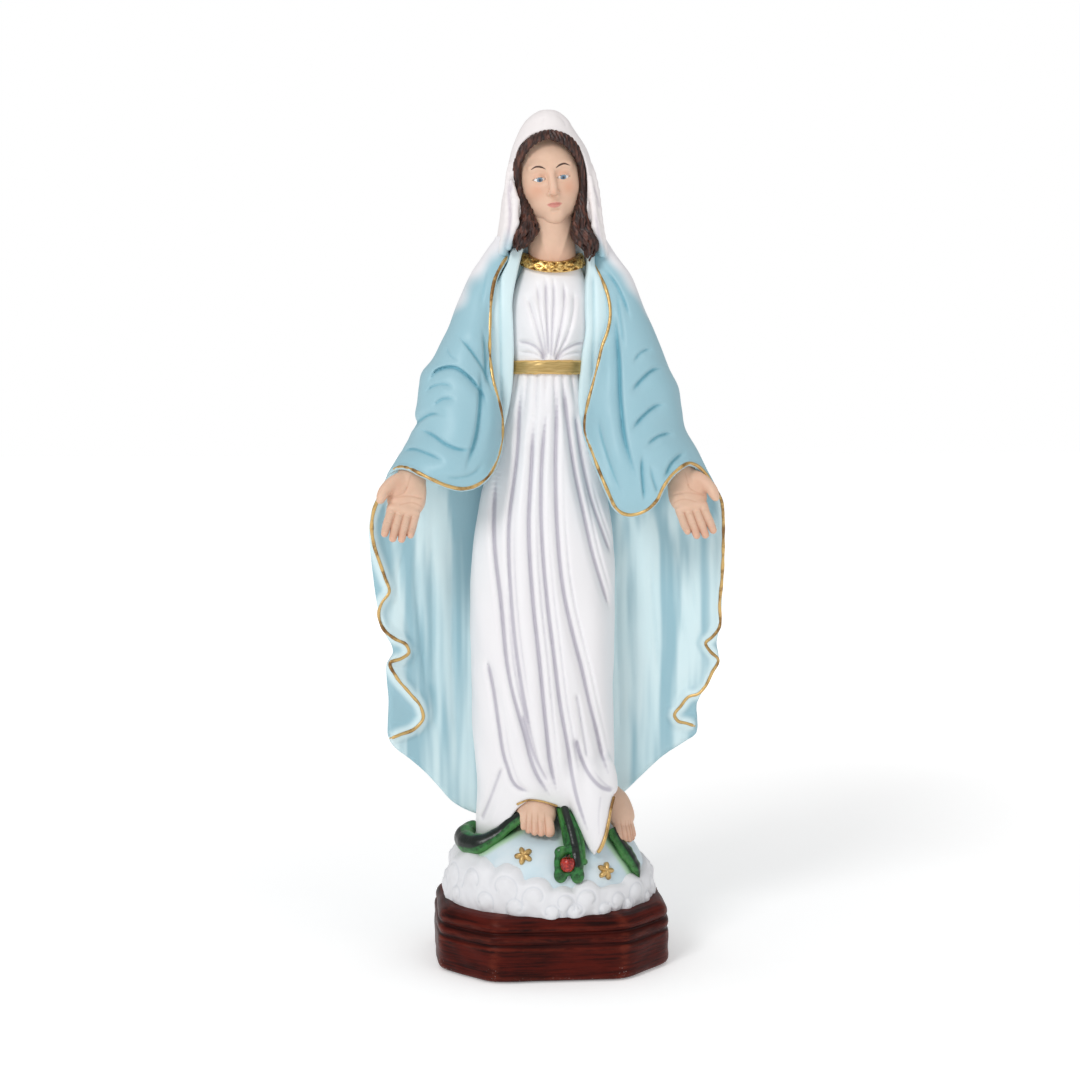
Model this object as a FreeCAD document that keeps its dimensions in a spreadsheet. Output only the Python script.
"""Madonna statue, 400 mm tall: a robed figure with open hands on a clouded globe and a moulded plinth.

Frame: +Z up, the figure faces -Y, +X is the figure's left. The origin is the centre of the plinth's underside.
Every piece is a casting or an insert of its own. Spigots, pegs and a core dowel locate them on each other.
All lengths are in millimetres. The figure's sections are written for DESIGN_HEIGHT and follow total_height.
"""

import FreeCAD, Part

import math
import os

import Sketcher
from FreeCAD import Placement, Rotation, Vector

DESIGN_HEIGHT = 400.0
FIT = 0.05  # radial clearance of a peg in its socket
X_AXIS, Z_AXIS = Vector(1, 0, 0), Vector(0, 0, 1)

DRIVING_DIMENSIONS = {
    "total_height": DESIGN_HEIGHT,
    "plinth_width": 110.0,
    "plinth_depth": 98.0,
    "plinth_chamfer": 24.0,
    "plinth_height": 30.0,
    "plinth_edge_rounding": 2.5,
    "felt_thickness": 1.5,
    "felt_margin": 4.0,
    "globe_half_width": 47.0,
    "globe_half_depth": 43.0,
    "globe_rise": 40.0,
    "globe_centre_height": 28.0,
    "spigot_radius": 20.0,
    "spigot_length": 6.0,
    "dowel_radius": 4.0,
    "dowel_foot": 18.0,
    "dowel_length": 118.0,
    "star_span": 9.0,
    "star_thickness": 1.4,
    "wrist_peg_radius": 3.0,
    "wrist_peg_length": 9.0,
    "neck_peg_radius": 5.0,
    "neck_peg_length": 10.0,
    "eye_radius": 2.3,
}

doc = FreeCAD.newDocument("madonna_statue")
dims = doc.addObject("Spreadsheet::Sheet", "dims")
for row, (alias, number) in enumerate(DRIVING_DIMENSIONS.items(), start=1):
    dims.set(f"A{row}", alias)
    dims.set(f"B{row}", str(number))
    dims.setAlias(f"B{row}", alias)
doc.recompute()


# ---------------------------------------------------------------- sizes and expressions


def dim(alias):
    """The sheet's number for a driving dimension."""
    return float(dims.get(alias))


def figure_size(length):
    """An expression for a length that is written for the design height."""
    return f"dims.total_height * {length / DESIGN_HEIGHT:.6f}"


def figure_number(length):
    """The same length as a number, for shapes that are made in code."""
    return length * dim("total_height") / DESIGN_HEIGHT


def bind(thing, **expressions):
    """Binds properties to expressions. A double underscore in a property's name stands for a dot."""
    for name, expression in expressions.items():
        thing.setExpression(name.replace("__", "."), expression)
    return thing


def place(thing, x, y, z, turn=None):
    """Sets a figure piece's Placement, with its position bound to the statue's height."""
    thing.Placement = Placement(Vector(x, y, z), turn or Rotation())
    return bind(
        thing,
        Placement__Base__x=figure_size(x),
        Placement__Base__y=figure_size(y),
        Placement__Base__z=figure_size(z),
    )


# ---------------------------------------------------------------- shapes of the figure


def ball(name, centre, radii, turn=None):
    """An ellipsoid. radii are its half-sizes along its own X, Y and Z."""
    made = doc.addObject("Part::Ellipsoid", name)
    bind(made, Radius2=figure_size(radii[0]), Radius3=figure_size(radii[1]), Radius1=figure_size(radii[2]))
    return place(made, *centre, turn)


def tapered_rod(name, start, end, start_radius, end_radius):
    """A round bar that tapers from start to end."""
    run = Vector(*end) - Vector(*start)
    made = doc.addObject("Part::Cone", name)
    bind(
        made,
        Radius1=figure_size(start_radius),
        Radius2=figure_size(end_radius),
        Height=figure_size(run.Length),
    )
    return place(made, *start, Rotation(Z_AXIS, run))


def fuse(name, shapes):
    """One solid from several that overlap."""
    made = doc.addObject("Part::MultiFuse", name)
    made.Shapes = list(shapes)
    return made


def cut(name, base, tools):
    """base with each tool taken away in turn. The last cut carries the name."""
    for number, tool in enumerate(tools, start=1):
        made = doc.addObject("Part::Cut", name if number == len(tools) else f"{name}_less_{tool.Name}")
        made.Base = base
        made.Tool = tool
        base = made
    return base


def ring_loft(name, rings, longer="width"):
    """A smooth solid through level ellipses, each (height, centre x, centre y, half-width, half-depth).

    longer says which of the two half-sizes is the larger one in all of this loft's rings.
    """
    sections = []
    for number, (z, x, y, half_width, half_depth) in enumerate(rings, start=1):
        section = doc.addObject("Part::Ellipse", f"{name}_ring{number}")
        if longer == "width":
            bind(section, MajorRadius=figure_size(half_width), MinorRadius=figure_size(half_depth))
            place(section, x, y, z)
        else:
            bind(section, MajorRadius=figure_size(half_depth), MinorRadius=figure_size(half_width))
            place(section, x, y, z, Rotation(Z_AXIS, 90))
        sections.append(section)
    made = doc.addObject("Part::Loft", name)
    made.Sections = sections
    made.Solid = True
    return made


def rounded_path(spots):
    """A wire of straight runs through the spots, with each corner rounded by a tangent arc."""
    points = [Vector(*spot) for spot in spots]
    edges = []
    start = points[0]
    for before, corner, after in zip(points, points[1:], points[2:]):
        back = (before - corner).normalize()
        ahead = (after - corner).normalize()
        reach = 0.45 * min((before - corner).Length, (after - corner).Length)
        bisector = (back + ahead).normalize()
        half_angle = back.getAngle(ahead) / 2
        middle = corner + bisector * (reach / math.cos(half_angle) - reach * math.tan(half_angle))
        enter = corner + back * reach
        leave = corner + ahead * reach
        edges.append(Part.LineSegment(start, enter).toShape())
        edges.append(Part.Arc(enter, middle, leave).toShape())
        start = leave
    edges.append(Part.LineSegment(start, points[-1]).toShape())
    return Part.Wire(edges)


def bent_bar(name, spots, radius):
    """A round bar of one thickness along a rounded path."""
    path = rounded_path([[figure_number(size) for size in spot] for spot in spots])
    first = path.Edges[0]
    start = first.valueAt(first.FirstParameter)
    section = Part.Circle(start, first.tangentAt(first.FirstParameter), figure_number(radius))
    made = doc.addObject("Part::Feature", name)
    made.Shape = path.makePipeShell([Part.Wire([section.toShape()])], True, True)
    return made


# ---------------------------------------------------------------- sketches and bodies

CORNER_SHIFT = math.sqrt(2.0) - 1.0  # how far an octagon's corner slides along its side per unit of inset


def origin_plane(body, role):
    return next(feature for feature in body.Origin.OriginFeatures if feature.Role == role)


def level_sketch(body, name, level="0"):
    """A sketch parallel to the body's XY plane, at a level given as an expression."""
    sketch = body.newObject("Sketcher::SketchObject", name)
    sketch.AttachmentSupport = [(origin_plane(body, "XY_Plane"), "")]
    sketch.MapMode = "FlatFace"
    sketch.setExpression("AttachmentOffset.Base.z", level)
    return sketch


def polygon(sketch, corners):
    """A closed outline. Each corner is ((x, x expression), (y, y expression))."""
    spots = [Vector(x[0], y[0], 0) for x, y in corners]
    following = list(range(1, len(corners))) + [0]
    for number, after in enumerate(following):
        sketch.addGeometry(Part.LineSegment(spots[number], spots[after]))
    for number, after in enumerate(following):
        sketch.addConstraint(Sketcher.Constraint("Coincident", number, 2, after, 1))
    for number, corner in enumerate(corners):
        for kind, (size, expression) in zip(("DistanceX", "DistanceY"), corner):
            index = sketch.addConstraint(Sketcher.Constraint(kind, -1, 1, number, 1, size))
            sketch.setExpression(f"Constraints[{index}]", expression)


def circle(sketch, radius_alias, extra=0.0):
    """A circle about the sketch's origin, of a sheet radius plus an allowance."""
    sketch.addGeometry(Part.Circle(Vector(), Z_AXIS, dim(radius_alias) + extra))
    sketch.addConstraint(Sketcher.Constraint("Coincident", 0, 3, -1, 1))
    index = sketch.addConstraint(Sketcher.Constraint("Radius", 0, dim(radius_alias) + extra))
    sketch.setExpression(f"Constraints[{index}]", f"dims.{radius_alias} + {extra}")


def octagon(sketch, inset):
    """The plinth's outline, a rectangle with its corners cut off, moved in by an inset."""
    shift = inset * CORNER_SHIFT
    half_width, half_depth, chamfer = dim("plinth_width") / 2, dim("plinth_depth") / 2, dim("plinth_chamfer")
    outer_x = (half_width - inset, f"(dims.plinth_width / 2 - {inset})")
    outer_y = (half_depth - inset, f"(dims.plinth_depth / 2 - {inset})")
    inner_x = (half_width - chamfer - shift, f"(dims.plinth_width / 2 - dims.plinth_chamfer - {shift})")
    inner_y = (half_depth - chamfer - shift, f"(dims.plinth_depth / 2 - dims.plinth_chamfer - {shift})")
    corners = []
    for sign_x, sign_y in ((1, 1), (-1, 1), (-1, -1), (1, -1)):
        pair = [(outer_x, inner_y), (inner_x, outer_y)]
        if sign_x != sign_y:
            pair.reverse()
        for x, y in pair:
            corners.append(((x[0] * sign_x, f"{sign_x} * {x[1]}"), (y[0] * sign_y, f"{sign_y} * {y[1]}")))
    polygon(sketch, corners)


def pad(body, sketch, name, length):
    made = body.newObject("PartDesign::Pad", name)
    made.Profile = sketch
    made.setExpression("Length", length)
    return made


def pocket(body, sketch, name, length, upward=False):
    """Takes the sketch's area away, downward from its level unless upward is set."""
    made = body.newObject("PartDesign::Pocket", name)
    made.Profile = sketch
    made.Reversed = upward
    made.setExpression("Length", length)
    return made


# ---------------------------------------------------------------- plinth, felt and core dowel

PLINTH_STEPS = (  # from the floor up: name, inset of the outline, top level as a share of the height
    ("block", 0.0, 0.53),
    ("lower_groove", 1.6, 0.57),
    ("bead", 0.3, 0.73),
    ("upper_groove", 2.4, 0.78),
)
CAP_FOOT_INSET = 1.0
CAP_TOP_INSET = 4.6


def plinth():
    """A moulded octagonal base with a felt recess below, and a socket and a bore above."""
    body = doc.addObject("PartDesign::Body", "plinth")
    bottom = 0.0
    for step, inset, top in PLINTH_STEPS:
        sketch = level_sketch(body, f"{step}_outline", f"dims.plinth_height * {bottom}")
        octagon(sketch, inset)
        pad(body, sketch, f"plinth_{step}", f"dims.plinth_height * {top - bottom:.4f}")
        bottom = top
    cap_foot = level_sketch(body, "cap_foot_outline", f"dims.plinth_height * {bottom}")
    octagon(cap_foot, CAP_FOOT_INSET)
    cap_top = level_sketch(body, "cap_top_outline", "dims.plinth_height")
    octagon(cap_top, CAP_TOP_INSET)
    doc.recompute()
    cap = body.newObject("PartDesign::AdditiveLoft", "plinth_cap")
    cap.Profile = cap_foot
    cap.Sections = [cap_top]
    cap.Ruled = True
    doc.recompute()
    faces = enumerate(cap.Shape.Faces, start=1)
    underside = min(faces, key=lambda numbered: numbered[1].CenterOfMass.z)[0]
    rounding = body.newObject("PartDesign::Fillet", "bottom_rounding")
    rounding.Base = (cap, [f"Face{underside}"])
    rounding.setExpression("Radius", "dims.plinth_edge_rounding")
    recess = level_sketch(body, "felt_recess_outline")
    octagon(recess, dim("felt_margin") - FIT)
    pocket(body, recess, "felt_recess", "dims.felt_thickness", upward=True)
    socket = level_sketch(body, "spigot_socket_outline", "dims.plinth_height")
    circle(socket, "spigot_radius", FIT)
    pocket(body, socket, "spigot_socket", "dims.spigot_length")
    bore = level_sketch(body, "dowel_socket_outline", "dims.plinth_height")
    circle(bore, "dowel_radius", FIT)
    pocket(body, bore, "dowel_socket", "dims.plinth_height - dims.dowel_foot")
    return body


def felt_pad():
    body = doc.addObject("PartDesign::Body", "felt_pad")
    outline = level_sketch(body, "felt_outline")
    octagon(outline, dim("felt_margin"))
    pad(body, outline, "felt_sheet", "dims.felt_thickness")
    return body


def core_dowel():
    """A steel bar that ties the plinth, the globe and the robe together."""
    body = doc.addObject("PartDesign::Body", "core_dowel")
    outline = level_sketch(body, "dowel_outline", "dims.dowel_foot")
    circle(outline, "dowel_radius")
    pad(body, outline, "dowel_bar", "dims.dowel_length")
    return body


def upright_cylinder(name, radius, bottom, height):
    """A cylinder on the statue's axis. All three sizes are expressions."""
    made = doc.addObject("Part::Cylinder", name)
    return bind(made, Radius=radius, Height=height, Placement__Base__z=bottom)


# ---------------------------------------------------------------- globe, clouds, stars

CLOUD_COLLAR = (
    (30, 0, 0, 50.4, 44.4),
    (36, 0, 0, 51.4, 46.4),
    (44, 0, 0, 48.0, 44.0),
    (50, 0, 0, 42.0, 38.5),
)
PUFF_COUNT = 16
PUFF_ORBIT = (42.5, 38.0)  # the puffs' centres lie on this ellipse
PUFF_HEIGHTS = (38.5, 41.5)  # in turn
PUFF_RADII = (7.6, 9.2, 7.6)


def dome_height(x, y):
    """The height of the globe's surface above a point of the plan."""
    share = (x / dim("globe_half_width")) ** 2 + (y / dim("globe_half_depth")) ** 2
    return dim("globe_centre_height") + dim("globe_rise") * math.sqrt(1.0 - share)


def globe_blank():
    """The dome above the plinth, with the spigot that seats it there."""
    dome = doc.addObject("Part::Ellipsoid", "globe_ball")
    bind(
        dome,
        Radius1="dims.globe_rise",
        Radius2="dims.globe_half_width",
        Radius3="dims.globe_half_depth",
        Placement__Base__z="dims.globe_centre_height",
    )
    below = upright_cylinder("globe_foot_cutter", "dims.globe_half_width * 2", "-dims.globe_rise",
                             "dims.plinth_height + dims.globe_rise")
    cap = cut("globe_cap", dome, [below])
    spigot = upright_cylinder("globe_spigot", "dims.spigot_radius", "dims.plinth_height - dims.spigot_length",
                              "dims.spigot_length * 2")
    return fuse("globe_blank", [cap, spigot])


def cloud_ring(globe_solid):
    """A collar of cloud round the globe's foot, with rounded puffs along its upper edge."""
    puffs = []
    for number in range(PUFF_COUNT):
        angle = 2 * math.pi * (number + 0.5) / PUFF_COUNT
        x = PUFF_ORBIT[0] * math.cos(angle)
        y = PUFF_ORBIT[1] * math.sin(angle)
        z = PUFF_HEIGHTS[number % len(PUFF_HEIGHTS)]
        puffs.append(ball(f"puff{number + 1}", (x, y, z), PUFF_RADII, Rotation(Z_AXIS, math.degrees(angle))))
    collar = ring_loft("cloud_collar", CLOUD_COLLAR)
    return cut("cloud_ring", fuse("cloud_blank", [collar, *puffs]), [globe_solid])


def star(name, x, z, spin, globe_solid):
    """A blunt five-armed star laid on the front of the globe, hollowed below to the globe's curve."""
    half_width, half_depth, rise = dim("globe_half_width"), dim("globe_half_depth"), dim("globe_rise")
    lift = (z - dim("globe_centre_height")) / rise
    y = -half_depth * math.sqrt(1.0 - lift**2 - (x / half_width) ** 2)
    outward = Vector(x / half_width**2, y / half_depth**2, lift / rise).normalize()
    body = doc.addObject("PartDesign::Body", f"{name}_body")
    outline = level_sketch(body, f"{name}_outline")
    corners = []
    for arm in range(5):
        for offset, share in ((-12, 0.5), (12, 0.5), (36, 0.24)):
            angle = math.radians(90 + spin + 72 * arm + offset)
            across, along = share * math.cos(angle), share * math.sin(angle)
            corners.append(
                (
                    (across * dim("star_span"), f"dims.star_span * {across:.6f}"),
                    (along * dim("star_span"), f"dims.star_span * {along:.6f}"),
                )
            )
    polygon(outline, corners)
    pad(body, outline, f"{name}_relief", "dims.star_thickness * 2")
    side = Vector(-outward.y, outward.x, 0).normalize()
    turn = Rotation(side, outward.cross(side), outward, "ZXY")
    body.Placement = Placement(Vector(x, y, z) - outward * dim("star_thickness"), turn)
    return cut(name, body, [globe_solid])


# ---------------------------------------------------------------- serpent and apple

SERPENT_ROUTES = {  # plan positions along the globe, and how high the bar's centre rides above the globe
    "serpent_body": (((-31.0, 14.0), (-40.0, 5.0), (-41.0, -6.0), (-33.0, -15.5), (-22.0, -20.5)), 1.0),
    "serpent_neck": (((8.0, -22.0), (8.8, -29.0), (8.8, -35.5), (7.4, -40.0)), 1.0),
    "serpent_tail": (((24.0, -14.0), (29.5, -20.0), (35.5, -21.5), (40.0, -18.5)), 0.6),
}
SERPENT_RADII = {"serpent_body": 4.2, "serpent_neck": 3.4, "serpent_tail": 3.2}


def serpent_bar(name):
    route, ride = SERPENT_ROUTES[name]
    spots = [(x, y, dome_height(x, y) + ride) for x, y in route]
    return bent_bar(f"{name}_bar", spots, SERPENT_RADII[name])


def serpent_head_blank():
    """The neck, with the skull and the open jaw at its end."""
    skull = ball("serpent_skull", (9.6, -41.2, 47.5), (4.4, 3.4, 6.4))
    jaw = ball("serpent_jaw", (0.6, -42.0, 46.6), (3.2, 2.6, 5.0))
    hinge = ball("serpent_jaw_hinge", (5.0, -40.0, 50.0), (6.4, 3.0, 3.4))
    return fuse("serpent_head_blank", [serpent_bar("serpent_neck"), skull, jaw, hinge])


# ---------------------------------------------------------------- feet and hands

TOE_COUNT = 5
FINGER_COUNT = 4
RIGHT_FOOT = {
    "instep": (
        (57, -5.0, -18.5, 7.4, 9.5),
        (66, -5.0, -17.0, 7.2, 10.0),
        (73, -4.8, -13.0, 6.6, 9.0),
        (80, -4.5, -8.0, 5.8, 7.0),
    ),
    "toe_roots": ((-1.4, -25.4, 63.6), (-9.4, -24.6, 63.4)),
    "toe_tips": ((0.4, -31.6, 62.2), (-10.6, -28.8, 62.0)),
    "toe_radii": (2.5, 1.7),
}
LEFT_FOOT = {
    "instep": (
        (50, 33.2, -11.6, 5.6, 7.6),
        (60, 32.0, -9.6, 5.8, 8.0),
        (68, 30.2, -6.2, 5.4, 7.2),
        (79, 27.5, -2.2, 5.0, 6.0),
    ),
    "toe_roots": ((32.0, -16.2, 57.0), (36.6, -12.6, 54.4)),
    "toe_tips": ((34.2, -21.6, 55.4), (41.4, -15.2, 52.2)),
    "toe_radii": (2.4, 1.6),
}
RIGHT_HAND = {
    "wrist": (-64.0, -31.0, 232.0),
    "inward": (0.62, 0.45, 0.64),
    "palm": (
        (208.5, -67.2, -38.6, 7.6, 3.2),
        (214, -67.2, -37.8, 8.8, 4.2),
        (221, -66.8, -36.4, 8.6, 4.6),
        (227, -65.6, -34.0, 6.6, 4.6),
        (233, -64.0, -31.0, 5.6, 4.6),
    ),
    "knuckles": ((-73.4, -38.5, 211.5), (-61.2, -38.5, 212.0)),
    "fingertips": ((-75.0, -42.0, 199.0), (-62.2, -42.5, 200.0)),
    "finger_radii": (2.0, 2.2),
    "thumb": ((-71.0, -37.0, 222.0), (-78.0, -41.0, 214.0)),
    "thumb_radius": 2.4,
}
LEFT_HAND = {
    "wrist": (62.0, -31.0, 230.0),
    "inward": (-0.62, 0.45, 0.64),
    "palm": (
        (207.5, 65.0, -38.6, 7.4, 3.2),
        (213, 65.0, -37.8, 8.6, 4.2),
        (220, 64.8, -36.4, 8.4, 4.6),
        (226, 63.6, -34.0, 6.6, 4.6),
        (231, 62.0, -31.0, 5.6, 4.6),
    ),
    "knuckles": ((59.2, -38.5, 211.0), (71.0, -38.5, 210.5)),
    "fingertips": ((60.0, -42.5, 199.5), (72.0, -42.0, 198.5)),
    "finger_radii": (2.2, 2.0),
    "thumb": ((69.0, -37.0, 221.0), (75.0, -41.0, 214.5)),
    "thumb_radius": 2.4,
}


def between(first, last, share):
    return [start + (end - start) * share for start, end in zip(first, last)]


def knob(name, centre, radius):
    made = doc.addObject("Part::Sphere", name)
    bind(made, Radius=figure_size(radius))
    return place(made, *centre)


def digit(name, root, tip, radius):
    """A finger or toe: a rod that thins a little towards a round tip."""
    return [tapered_rod(f"{name}_bone", root, tip, radius * 1.15, radius * 0.95), knob(f"{name}_tip", tip, radius)]


def digit_row(name, roots, tips, radii, count):
    """Digits side by side, from the first pair of ends to the last."""
    pieces = []
    for number in range(count):
        share = number / (count - 1)
        radius = radii[0] + (radii[1] - radii[0]) * share
        pieces += digit(f"{name}{number + 1}", between(*roots, share), between(*tips, share), radius)
    return pieces


def foot(name, sizes, globe_solid):
    """An instep with five toes in a slanting row, standing on the globe. Returns the foot and its instep."""
    toes = digit_row(f"{name}_toe", sizes["toe_roots"], sizes["toe_tips"], sizes["toe_radii"], TOE_COUNT)
    instep = ring_loft(f"{name}_instep", sizes["instep"], "depth")
    return cut(name, fuse(f"{name}_blank", [instep, *toes]), [globe_solid]), instep


def wrist_peg(name, wrist, inward):
    """The peg that seats a hand in its sleeve. It starts inside the wrist."""
    direction = Vector(*inward).normalize()
    start = Vector(*wrist) - direction * dim("wrist_peg_length") * 0.5
    made = doc.addObject("Part::Cylinder", name)
    bind(made, Radius="dims.wrist_peg_radius", Height="dims.wrist_peg_length * 1.5")
    return place(made, *start, Rotation(Z_AXIS, direction))


def hand(name, sizes):
    """A palm that faces forward, four fingers, a thumb held out, and a wrist with its peg."""
    pieces = [ring_loft(f"{name}_palm", sizes["palm"])]
    pieces += digit_row(
        f"{name}_finger", sizes["knuckles"], sizes["fingertips"], sizes["finger_radii"], FINGER_COUNT
    )
    pieces += digit(f"{name}_thumb", *sizes["thumb"], sizes["thumb_radius"])
    pieces.append(wrist_peg(f"{name}_peg", sizes["wrist"], sizes["inward"]))
    return fuse(name, pieces)


# ---------------------------------------------------------------- robe, sash and collar

SKIRT = (
    (54, -1.0, -0.5, 33.0, 22.0),
    (76, -1.0, -2.0, 32.0, 23.0),
    (110, -3.5, -4.0, 34.0, 26.0),
    (150, -4.5, -5.0, 34.5, 27.0),
    (195, -4.0, -4.5, 33.0, 24.5),
    (235, -2.0, -2.5, 27.0, 20.0),
    (260, -1.2, -1.0, 20.5, 16.5),
    (277.5, -1.0, 0.0, 17.6, 15.0),
)
SASH = (
    (277.5, -1.0, 0.0, 18.4, 15.8),
    (280.7, -1.0, 0.0, 18.8, 16.2),
    (284.0, -1.0, 0.0, 18.4, 15.8),
)
BODICE = (
    (284.0, -1.0, 0.0, 17.6, 15.0),
    (298, -0.5, -1.0, 20.0, 17.0),
    (314, 0.5, 0.5, 19.0, 13.5),
    (322, 1.0, 1.6, 15.0, 11.2),
    (329, 1.2, 2.2, 12.2, 9.8),
)
COLLAR_LEAN = Rotation(X_AXIS, 10)  # the collar dips at the front
COLLAR_RINGS = (((1.2, 0.6, 326.0), (16.8, 13.4)), ((1.2, 0.6, 331.4), (13.8, 11.6)))


def collar(inner_solids):
    """A raised band round the foot of the neck."""
    sections = []
    for number, (centre, (half_width, half_depth)) in enumerate(COLLAR_RINGS, start=1):
        section = doc.addObject("Part::Ellipse", f"collar_ring{number}")
        bind(section, MajorRadius=figure_size(half_width), MinorRadius=figure_size(half_depth))
        sections.append(place(section, *centre, COLLAR_LEAN))
    band = doc.addObject("Part::Loft", "collar_blank")
    band.Sections = sections
    band.Solid = True
    return cut("collar", band, inner_solids)


# ---------------------------------------------------------------- mantle, in three castings

MANTLE_OUTSIDE = (
    (72, -2.0, 8.0, 35.0, 23.0),
    (86, -2.0, 7.0, 52.0, 27.0),
    (106, -2.0, 6.0, 73.0, 30.0),
    (150, -1.0, 5.0, 78.0, 32.0),
    (200, -1.0, 4.0, 81.0, 30.0),
    (226, -1.0, 4.0, 74.0, 27.0),
    (245, -1.0, 4.5, 60.0, 25.0),
    (266, -1.0, 5.0, 48.0, 23.0),
    (300, -1.0, 6.5, 37.0, 20.0),
    (322, 0.0, 9.0, 28.0, 17.0),
    (338, 0.0, 10.0, 20.0, 14.5),
)
MANTLE_SPINE = 14.0  # thickness at the middle of the back
HOLLOW_WIDER = 6.0  # the hollow is this much wider each side than the outside
HOLLOW_FORWARD = 14.0  # and its centres lie this much further forward, so that the front is open
HOLLOW_OVERRUN = 6.0  # it runs past both ends of the outside
CAPE_RIGHT = (
    (219.5, -41.0, -23.0, 9.5, 10.0),
    (224, -44.0, -21.0, 16.5, 19.0),
    (232, -47.5, -18.5, 23.5, 24.0),
    (245, -44.0, -15.0, 23.0, 24.0),
    (262, -41.5, -11.0, 20.0, 22.0),
    (280, -39.5, -7.0, 13.5, 20.0),
    (300, -34.5, -2.0, 9.0, 17.5),
    (320, -28.5, 3.0, 8.0, 15.0),
    (333, -22.0, 5.0, 7.0, 11.0),
)
CAPE_LEFT = (
    (207, 33.5, -23.0, 8.5, 10.0),
    (213, 35.0, -21.0, 14.0, 18.0),
    (224, 39.5, -19.0, 20.0, 23.0),
    (240, 43.5, -16.0, 25.0, 26.0),
    (258, 38.0, -12.0, 23.5, 24.0),
    (276, 34.5, -8.0, 18.0, 20.5),
    (298, 32.0, -3.0, 12.0, 18.0),
    (318, 28.0, 3.0, 9.0, 15.0),
    (332, 23.0, 5.0, 7.5, 11.0),
)


def mantle_hollow_rings():
    """The outside's rings, moved forward and made wider."""
    last = len(MANTLE_OUTSIDE) - 1
    rings = []
    for number, (z, x, y, half_width, half_depth) in enumerate(MANTLE_OUTSIDE):
        overrun = {0: -HOLLOW_OVERRUN, last: HOLLOW_OVERRUN}.get(number, 0.0)
        back = y + half_depth - MANTLE_SPINE
        centre = y - HOLLOW_FORWARD
        rings.append((z + overrun, x, centre, half_width + HOLLOW_WIDER, back - centre))
    return rings


def mantle_shell():
    """The mantle's back and its two wings, open at the front."""
    outside = ring_loft("mantle_outside", MANTLE_OUTSIDE)
    hollow = ring_loft("mantle_hollow", mantle_hollow_rings())
    return cut("mantle_shell", outside, [hollow])


# ---------------------------------------------------------------- head, hair and veil

HEAD_TURN = Rotation(Vector(0, 1, 0), -7).multiply(Rotation(X_AXIS, 8))  # leans to its right and looks down
NECK = (
    (324, 1.2, 2.2, 10.8, 9.4),
    (334, 1.0, 2.3, 9.8, 9.2),
    (352, 0.8, 2.4, 9.8, 9.4),
)
EYE_SPOTS = {"eye_right": (-6.2, -11.0, 366.4), "eye_left": (4.0, -11.3, 367.4)}
LOCK_ROUTES = {
    "hair_lock_right": (
        (-12.8, -7.5, 371.0), (-14.4, -5.2, 361.0), (-13.4, -3.6, 351.0), (-13.0, -5.0, 342.0), (-15.0, -8.0, 334.5)
    ),
    "hair_lock_left": (
        (11.4, -7.5, 372.0), (13.4, -5.2, 361.5), (13.0, -3.6, 350.0), (13.6, -5.0, 340.0), (16.0, -8.2, 331.5)
    ),
}
LOCK_RADIUS = 3.2
VEIL_OUTSIDE = (
    (320, 0.0, 9.5, 31.0, 17.0),
    (331, 0.0, 8.5, 26.5, 17.5),
    (345, -0.5, 6.0, 22.8, 19.5),
    (362, -1.0, 3.5, 20.8, 20.0),
    (378, -1.8, 2.0, 18.4, 18.3),
    (389, -2.4, 1.5, 14.6, 14.5),
    (396, -2.7, 1.0, 9.5, 9.4),
    (400, -2.8, 0.6, 3.2, 3.1),
)
VEIL_HOLLOW = (
    (314, 0.0, -8.0, 28.0, 30.0),
    (331, 0.0, -8.0, 25.0, 31.0),
    (345, -0.5, -8.0, 21.0, 31.0),
    (362, -1.0, -8.0, 19.2, 29.0),
    (378, -1.8, -6.0, 16.6, 24.0),
    (387, -2.4, -5.0, 11.5, 18.0),
    (393, -2.6, -6.0, 4.5, 10.0),
)


def head(eyes):
    """Head and neck in one piece, with sockets for the eyes and a peg below the neck."""
    pieces = [
        ball("skull", (-1.6, 2.0, 371.0), (14.0, 15.5, 16.5), HEAD_TURN),
        ball("face", (-0.2, -2.0, 363.5), (11.6, 12.5, 18.0), HEAD_TURN),
        ball("nose", (-0.3, -13.2, 361.5), (1.8, 2.4, 4.6), HEAD_TURN),
        ball("chin", (1.5, -7.2, 350.6), (5.6, 5.2, 4.8), HEAD_TURN),
        ring_loft("neck", NECK),
    ]
    peg = doc.addObject("Part::Cylinder", "neck_peg")
    bind(peg, Radius="dims.neck_peg_radius", Height="dims.neck_peg_length * 2")
    x, y, z = NECK[0][1], NECK[0][2], NECK[0][0] - dim("neck_peg_length")
    pieces.append(place(peg, x, y, z))
    return cut("head", fuse("head_blank", pieces), eyes)


def eye(name, spot):
    made = doc.addObject("Part::Sphere", name)
    bind(made, Radius="dims.eye_radius")
    return place(made, *spot)


def hair_cap_blank():
    """The parted hair above the forehead: the front of a shell round the skull."""
    shell = ball("hair_shell", (-1.9, 1.6, 372.5), (15.6, 17.0, 17.0), HEAD_TURN)
    keeper = doc.addObject("Part::Box", "hair_keeper")
    bind(keeper, Length=figure_size(60), Width=figure_size(30), Height=figure_size(30))
    place(keeper, -32.0, -27.0, 373.5)
    made = doc.addObject("Part::Common", "hair_cap_blank")
    made.Base = shell
    made.Tool = keeper
    return made


def veil_shell():
    """The veil over the crown and down behind the neck, open round the face."""
    outside = ring_loft("veil_outside", VEIL_OUTSIDE)
    return cut("veil_shell", outside, [ring_loft("veil_hollow", VEIL_HOLLOW, "depth")])


# ---------------------------------------------------------------- assembly


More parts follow.
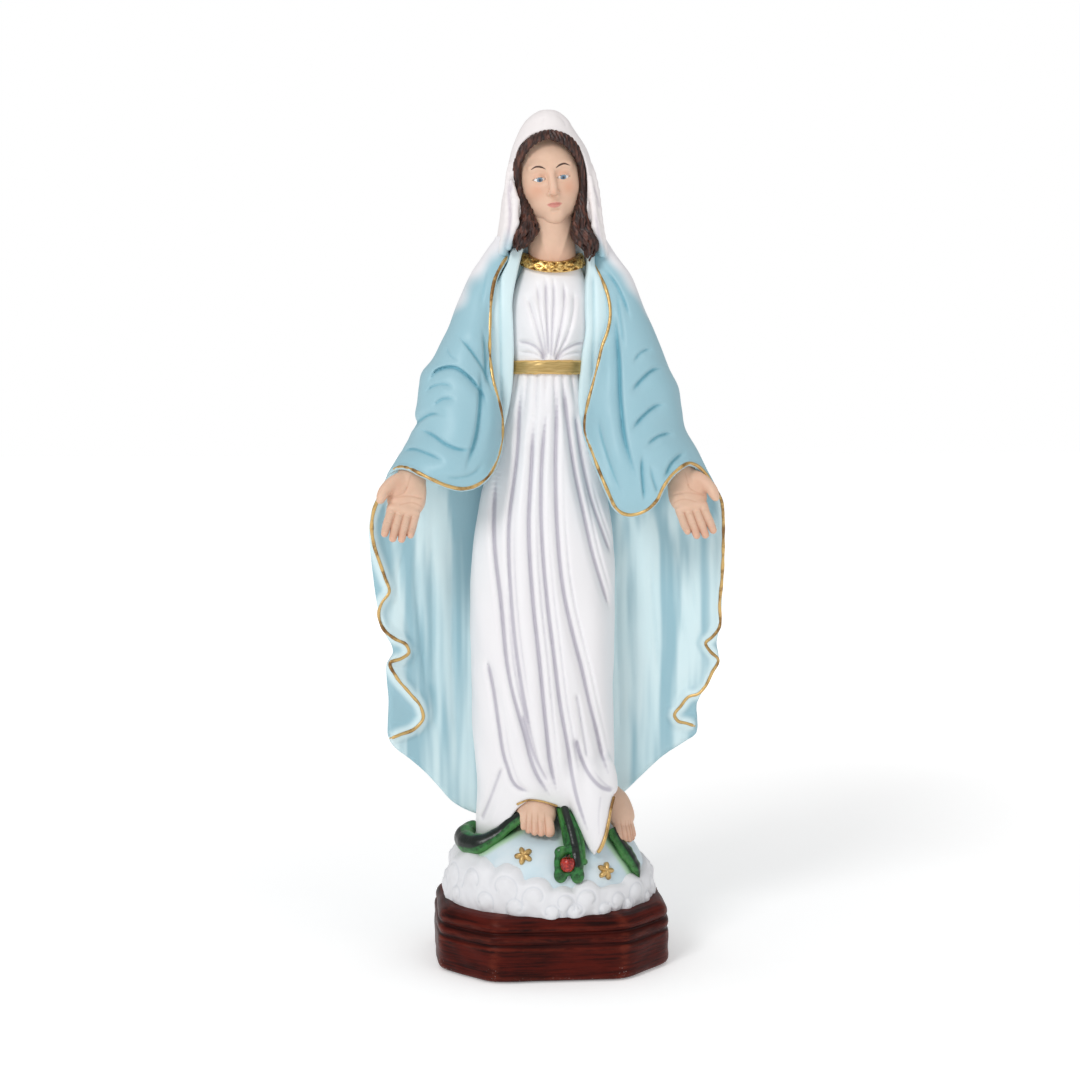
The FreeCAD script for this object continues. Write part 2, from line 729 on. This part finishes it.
def build():
    """Makes every sub-part and returns them by node name. Each piece is cut clear of its neighbours."""
    bore = upright_cylinder("dowel_bore", f"dims.dowel_radius + {FIT}", "dims.dowel_foot", "dims.dowel_length + 0.5")
    globe_solid = globe_blank()
    nodes = {"plinth": plinth(), "felt_pad": felt_pad(), "core_dowel": core_dowel()}
    nodes["globe"] = cut("globe", globe_solid, [bore])
    clouds = nodes["cloud_ring"] = cloud_ring(globe_solid)

    right_foot, right_instep = foot("foot_right", RIGHT_FOOT, globe_solid)
    left_foot, left_instep = foot("foot_left", LEFT_FOOT, globe_solid)
    nodes["foot_right"] = right_foot
    nodes["foot_left"] = left_foot
    skirt = nodes["robe_skirt"] = cut(
        "robe_skirt", ring_loft("skirt_blank", SKIRT), [globe_solid, right_instep, left_instep, bore]
    )
    sash = nodes["sash"] = ring_loft("sash", SASH)

    apple_ball = ball("apple_ball", (4.2, -43.0, 53.5), (3.2, 3.2, 3.8))
    nodes["serpent_body"] = cut("serpent_body", serpent_bar("serpent_body"), [globe_solid, skirt, right_foot])
    nodes["serpent_tail"] = cut("serpent_tail", serpent_bar("serpent_tail"), [globe_solid, skirt, left_foot, clouds])
    nodes["serpent_head"] = cut(
        "serpent_head", serpent_head_blank(), [globe_solid, skirt, right_foot, clouds, apple_ball]
    )
    nodes["apple"] = cut("apple", apple_ball, [clouds])
    nodes["star_right"] = star("star_right", -15.0, 55.0, 8.0, globe_solid)
    nodes["star_left"] = star("star_left", 22.5, 47.5, -14.0, globe_solid)

    eyes = [eye(name, spot) for name, spot in EYE_SPOTS.items()]
    nodes.update(zip(EYE_SPOTS, eyes))
    head_solid = nodes["head"] = head(eyes)
    bodice = nodes["robe_bodice"] = cut("robe_bodice", ring_loft("bodice_blank", BODICE), [head_solid])
    collar_band = nodes["collar"] = collar([bodice, head_solid])
    hair_cap = nodes["hair_cap"] = cut("hair_cap", hair_cap_blank(), [head_solid, *eyes])
    locks = []
    for name, route in LOCK_ROUTES.items():
        bar = bent_bar(f"{name}_bar", route, LOCK_RADIUS)
        locks.append(cut(name, bar, [head_solid, hair_cap, collar_band, bodice]))
        nodes[name] = locks[-1]

    hands = {"hand_right": hand("hand_right", RIGHT_HAND), "hand_left": hand("hand_left", LEFT_HAND)}
    nodes.update(hands)
    core = [skirt, sash, bodice, collar_band, head_solid]
    capes = []
    for side, rings in (("right", CAPE_RIGHT), ("left", CAPE_LEFT)):
        name = f"mantle_{side}"
        blank = ring_loft(f"{name}_blank", rings, "depth")
        capes.append(cut(name, blank, [*core, *locks, hands[f"hand_{side}"]]))
        nodes[name] = capes[-1]
    mantle_back = nodes["mantle_back"] = cut(
        "mantle_back", mantle_shell(), [*core, globe_solid, clouds, nodes["serpent_body"], *locks, *capes]
    )
    nodes["veil"] = cut("veil", veil_shell(), [*core, hair_cap, *locks, *capes, mantle_back])
    return nodes


def check_and_write(nodes):
    """Stops on any failed feature or bad solid, then writes one STEP file per sub-part."""
    doc.recompute()
    failed = [item.Name for item in doc.Objects if {"Invalid", "Error"} & set(item.State)]
    if failed:
        raise RuntimeError(f"failed features: {failed}")
    bad = []
    for name, thing in nodes.items():
        shape = thing.Shape
        print(f"{name}: {shape.Volume / 1000:.2f} cm3 in {len(shape.Solids)} solids")
        if shape.isNull() or not shape.isValid() or len(shape.Solids) != 1:
            bad.append(name)
    if bad:
        raise RuntimeError(f"bad shapes: {bad}")
    os.makedirs("parts", exist_ok=True)
    for name, thing in nodes.items():
        thing.Label = name
        thing.Shape.exportStep(os.path.join("parts", f"{name}.step"))


check_and_write(build())
